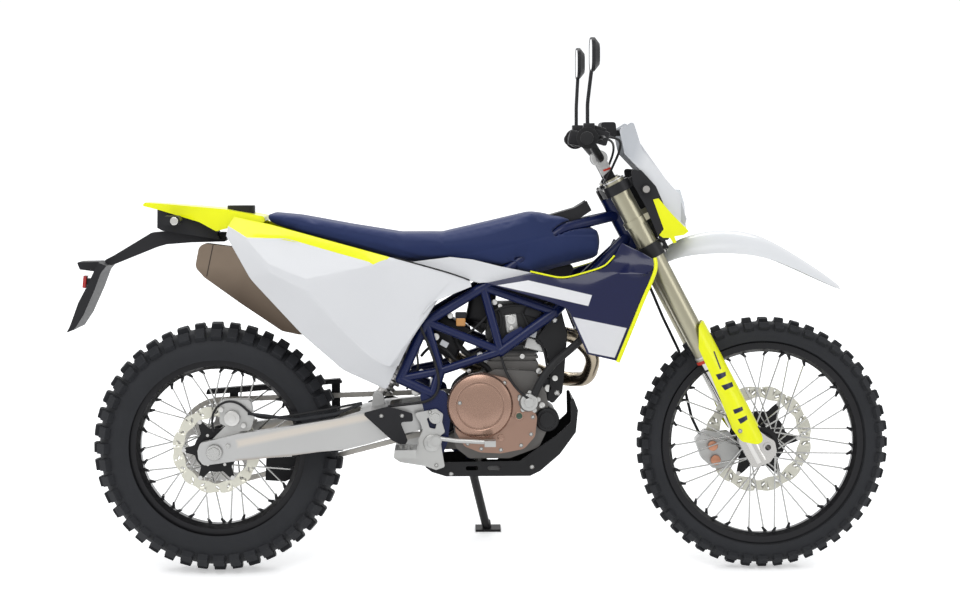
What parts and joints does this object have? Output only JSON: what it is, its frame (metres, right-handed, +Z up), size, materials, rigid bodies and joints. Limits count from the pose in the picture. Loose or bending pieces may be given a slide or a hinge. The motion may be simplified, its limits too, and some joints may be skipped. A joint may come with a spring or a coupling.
{
  "type": "dual sport motorcycle",
  "caption": "Road-legal off-road motorcycle with spoked knobby wheels, trellis frame, single-cylinder engine, chain drive and long-travel fork, leaning on its side stand.",
  "frame": {"origin": "bottom centre of the bounding box, on the floor, as the motorcycle leans on its side stand", "axes": "+X forward, +Y to the rider's left, the side it leans to, +Z up"},
  "size_m": [2.251, 0.8217, 1.49],
  "materials": {
    "seat_vinyl": "matte",
    "white_plastic": "glossy",
    "yellow_plastic": "glossy",
    "navy_plastic": "glossy",
    "black_plastic": "matte",
    "frame_paint": "satin",
    "cast_aluminium": "satin",
    "dark_metal": "satin",
    "bronze_cover": "satin",
    "exhaust_metal": "brushed",
    "fork_anodised": "satin",
    "fork_chrome": "polished",
    "steel": "brushed",
    "disc_steel": "brushed",
    "tyre_rubber": "matte",
    "grip_rubber": "matte",
    "lamp_glass": "clear",
    "red_lens": "glossy",
    "mirror_face": "polished",
    "radiator_core": "matte"
  },
  "bodies": {
    "chassis": {"trellis_frame": "frame_paint", "rear_tank": "black_plastic", "filler_cap": "dark_metal", "side_panels": "white_plastic", "tail_fairing": "yellow_plastic", "plate_carrier": "black_plastic", "tail_lamp": "red_lens", "rear_indicators": "black_plastic", "seat": "seat_vinyl", "shrouds": "navy_plastic", "air_box": "black_plastic", "radiators": "radiator_core", "crankcase": "cast_aluminium", "engine_covers": "bronze_cover", "cylinder": "cast_aluminium", "engine_brackets": "dark_metal", "exhaust_pipe": "exhaust_metal", "silencer": "exhaust_metal", "skid_plate": "dark_metal", "swingarm": "cast_aluminium", "swingarm_pivot": "steel", "rear_axle": "steel", "shock_absorber": "steel", "chain": "steel", "chain_guards": "black_plastic", "footrests": "cast_aluminium", "heel_guards": "black_plastic", "foot_levers": "cast_aluminium", "rear_caliper": "dark_metal", "rear_brake_hose": "grip_rubber"},
    "steering": {"fork_outer_tubes": "fork_anodised", "fork_inner_tubes": "fork_chrome", "triple_clamps": "cast_aluminium", "fork_guards": "yellow_plastic", "front_fender": "white_plastic", "front_axle": "steel", "headlamp_mask": "white_plastic", "headlamp": "lamp_glass", "mask_panels": "black_plastic", "mask_bands": "dark_metal", "handlebar": "dark_metal", "grips": "grip_rubber", "hand_levers": "dark_metal", "mirrors": "black_plastic", "mirror_glass": "mirror_face", "instrument": "black_plastic", "front_caliper": "dark_metal", "front_brake_hose": "grip_rubber"},
    "front_wheel": {"front_tyre": "tyre_rubber", "front_rim": "dark_metal", "front_hub": "dark_metal", "front_spokes": "steel", "front_disc": "disc_steel"},
    "rear_wheel": {"rear_tyre": "tyre_rubber", "rear_rim": "dark_metal", "rear_hub": "dark_metal", "rear_spokes": "steel", "rear_disc": "disc_steel", "rear_sprocket": "steel"},
    "side_stand": {"side_stand": "dark_metal"}
  },
  "joints": [
    {"name": "steering_turn", "type": "hinge", "parent": "chassis", "child": "steering", "pos_m": [0.39412, -0.04575, 0.94794], "axis": [-0.4648, 0.1537, 0.8719], "range_deg": [-40, 40]},
    {"name": "front_wheel_spin", "type": "hinge", "parent": "steering", "child": "front_wheel", "pos_m": [0.7775, -0.15201, 0.34532], "axis": [0, 0.9848, -0.1736], "continuous": true},
    {"name": "rear_wheel_spin", "type": "hinge", "parent": "chassis", "child": "rear_wheel", "pos_m": [-0.7245, -0.15246, 0.34277], "axis": [0, 0.9848, -0.1736], "continuous": true},
    {"name": "side_stand_fold", "type": "hinge", "parent": "chassis", "child": "side_stand", "pos_m": [-0.0345, -0.01111, 0.26905], "axis": [0.107, 0.8929, 0.4373], "range_deg": [0, 98.2]}
  ]
}
